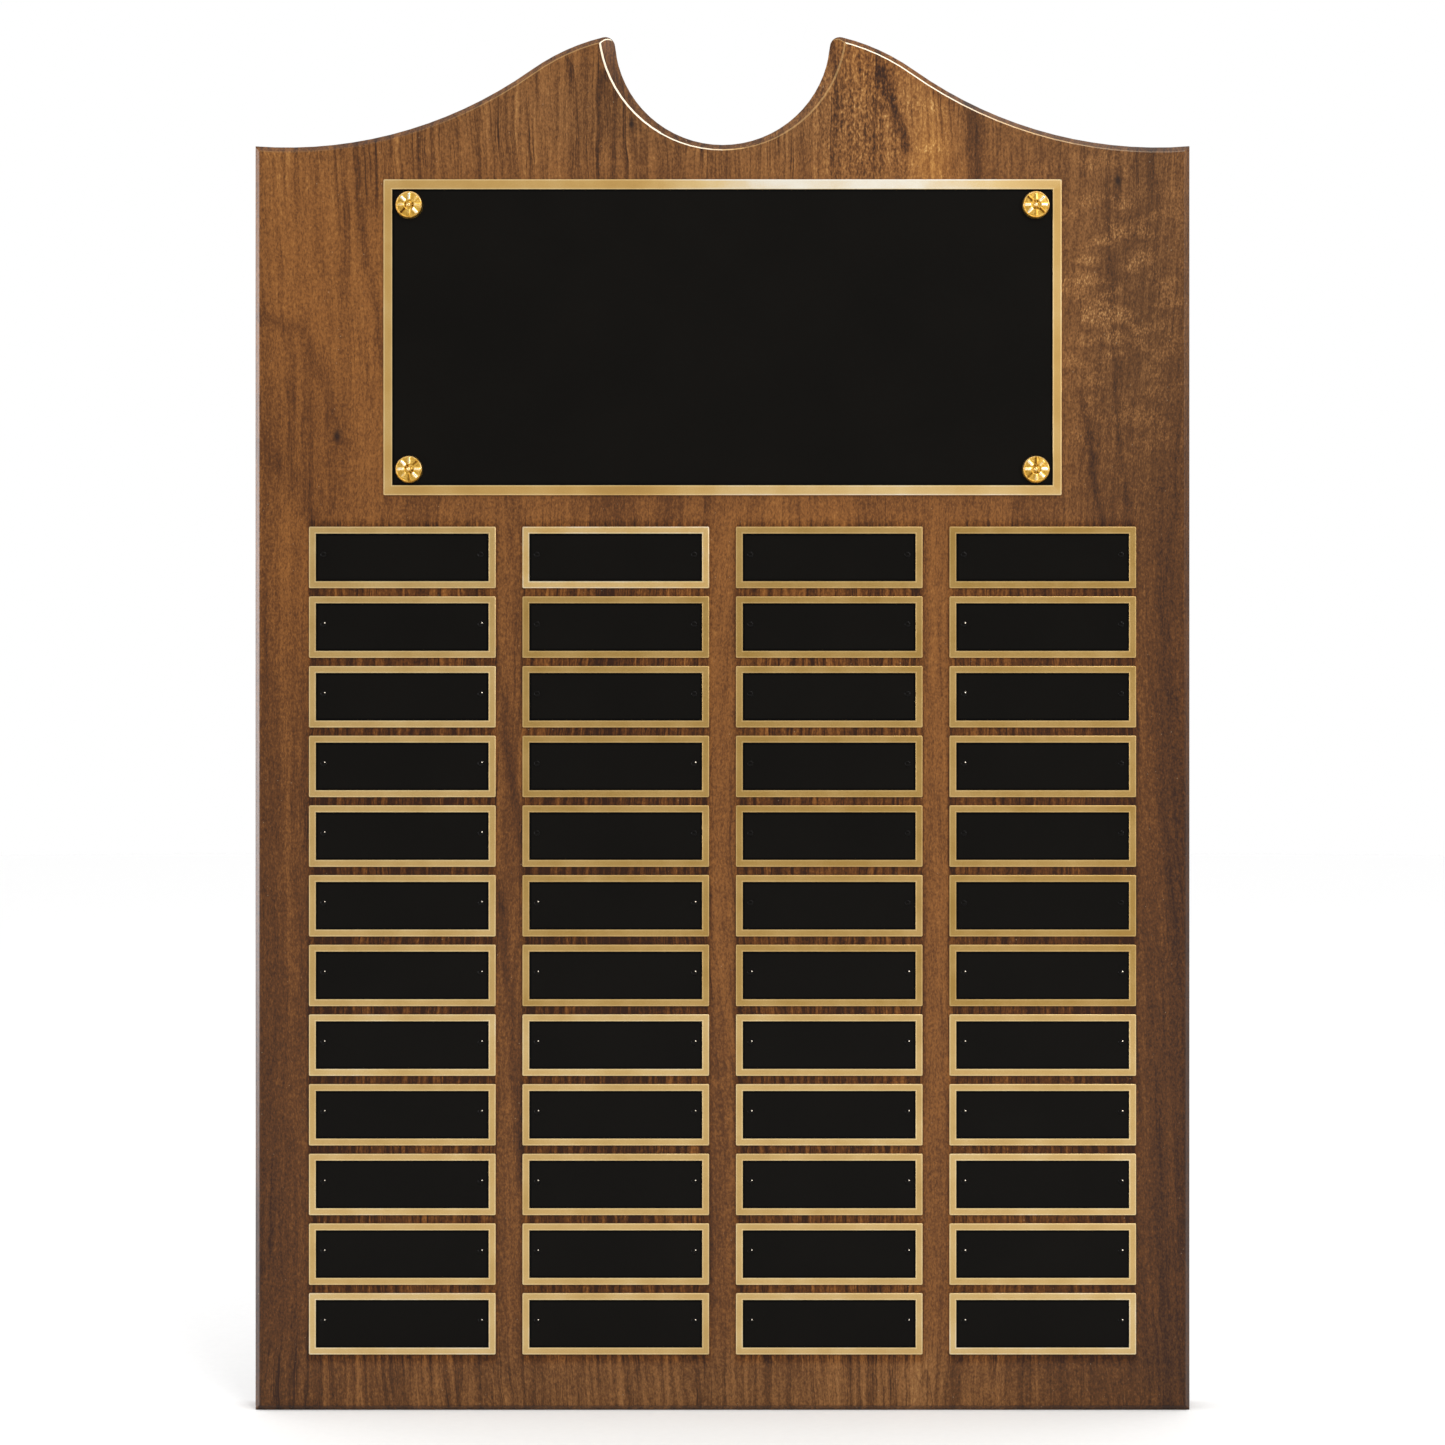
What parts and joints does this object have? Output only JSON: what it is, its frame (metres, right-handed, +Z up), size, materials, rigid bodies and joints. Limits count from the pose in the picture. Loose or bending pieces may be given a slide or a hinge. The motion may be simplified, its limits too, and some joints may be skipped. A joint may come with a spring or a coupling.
{
  "type": "perpetual award plaque",
  "caption": "Shaped walnut award plaque with a notched crest, a tacked header plate, a grid of small pinned name plates, and keyhole hangers let into its back.",
  "frame": {"origin": "centre of the board's back face, halfway up its full height, on the wall plane", "axes": "+Z up along the board, +X to the right of a viewer who faces the front, +Y out of the back face towards the wall, so the front faces -Y"},
  "size_m": [0.381, 0.0258, 0.56],
  "materials": {
    "walnut": "satin lacquered walnut",
    "black_enamel": "gloss black enamel on brass sheet, with a bare brass border",
    "polished_brass": "polished and lacquered",
    "zinc_steel": "zinc plated"
  },
  "bodies": {
    "root": {"walnut_board": "walnut", "header_plate": "black_enamel", "rosette_tack_top_left": "polished_brass", "rosette_tack_top_right": "polished_brass", "rosette_tack_bottom_left": "polished_brass", "rosette_tack_bottom_right": "polished_brass", "name_plate_r01_c1": "black_enamel", "name_plate_r01_c2": "black_enamel", "name_plate_r01_c3": "black_enamel", "name_plate_r01_c4": "black_enamel", "name_plate_r02_c1": "black_enamel", "name_plate_r02_c2": "black_enamel", "name_plate_r02_c3": "black_enamel", "name_plate_r02_c4": "black_enamel", "name_plate_r03_c1": "black_enamel", "name_plate_r03_c2": "black_enamel", "name_plate_r03_c3": "black_enamel", "name_plate_r03_c4": "black_enamel", "name_plate_r04_c1": "black_enamel", "name_plate_r04_c2": "black_enamel", "name_plate_r04_c3": "black_enamel", "name_plate_r04_c4": "black_enamel", "name_plate_r05_c1": "black_enamel", "name_plate_r05_c2": "black_enamel", "name_plate_r05_c3": "black_enamel", "name_plate_r05_c4": "black_enamel", "name_plate_r06_c1": "black_enamel", "name_plate_r06_c2": "black_enamel", "name_plate_r06_c3": "black_enamel", "name_plate_r06_c4": "black_enamel", "name_plate_r07_c1": "black_enamel", "name_plate_r07_c2": "black_enamel", "name_plate_r07_c3": "black_enamel", "name_plate_r07_c4": "black_enamel", "name_plate_r08_c1": "black_enamel", "name_plate_r08_c2": "black_enamel", "name_plate_r08_c3": "black_enamel", "name_plate_r08_c4": "black_enamel", "name_plate_r09_c1": "black_enamel", "name_plate_r09_c2": "black_enamel", "name_plate_r09_c3": "black_enamel", "name_plate_r09_c4": "black_enamel", "name_plate_r10_c1": "black_enamel", "name_plate_r10_c2": "black_enamel", "name_plate_r10_c3": "black_enamel", "name_plate_r10_c4": "black_enamel", "name_plate_r11_c1": "black_enamel", "name_plate_r11_c2": "black_enamel", "name_plate_r11_c3": "black_enamel", "name_plate_r11_c4": "black_enamel", "name_plate_r12_c1": "black_enamel", "name_plate_r12_c2": "black_enamel", "name_plate_r12_c3": "black_enamel", "name_plate_r12_c4": "black_enamel", "hanger_left": "zinc_steel", "hanger_right": "zinc_steel", "hanger_screw_left_top": "zinc_steel", "hanger_screw_left_bottom": "zinc_steel", "hanger_screw_right_top": "zinc_steel", "hanger_screw_right_bottom": "zinc_steel"}
  },
  "joints": []
}
